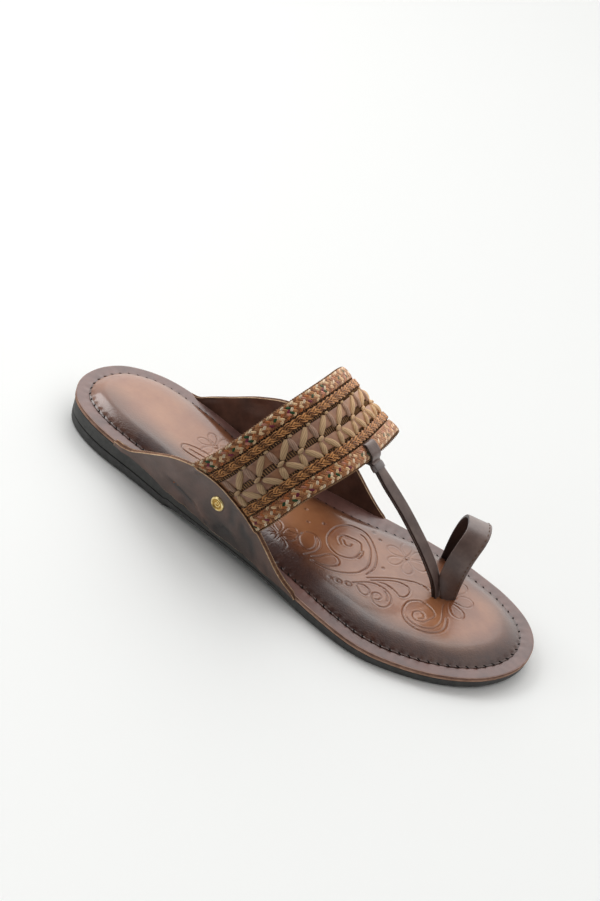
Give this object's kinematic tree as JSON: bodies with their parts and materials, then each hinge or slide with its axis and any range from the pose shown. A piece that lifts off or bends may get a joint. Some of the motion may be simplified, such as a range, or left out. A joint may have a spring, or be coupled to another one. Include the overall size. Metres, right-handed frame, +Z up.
{
  "type": "kolhapuri sandal",
  "caption": "Open leather sandal with a padded tooled insole, low leather wings, a braided instep band, a toe strap and a big-toe loop, worn on the right foot.",
  "frame": {"origin": "on the floor, on the outsole's flat underside below the middle of the heel, 36 mm forward of the back of the heel", "axes": "+X from the heel to the toe, +Y to the medial side, where the big toe is, +Z up from the floor"},
  "size_m": [0.265, 0.0966, 0.0879],
  "materials": {
    "outsole_rubber": "matt charcoal moulded rubber",
    "board_leather": "burnished brown sole leather",
    "insole_leather": "glossy tan leather, burnished dark at the border",
    "upper_leather": "satin dark brown leather with a braided band",
    "strap_leather": "satin dark brown leather",
    "rivet_brass": "polished brass cap"
  },
  "bodies": {
    "root": {"outsole": "outsole_rubber", "leather_board": "board_leather", "insole": "insole_leather", "upper": "upper_leather", "toe_strap": "strap_leather", "strap_keeper": "strap_leather", "toe_loop": "strap_leather", "rivet_lateral": "rivet_brass", "rivet_medial": "rivet_brass"}
  },
  "joints": []
}
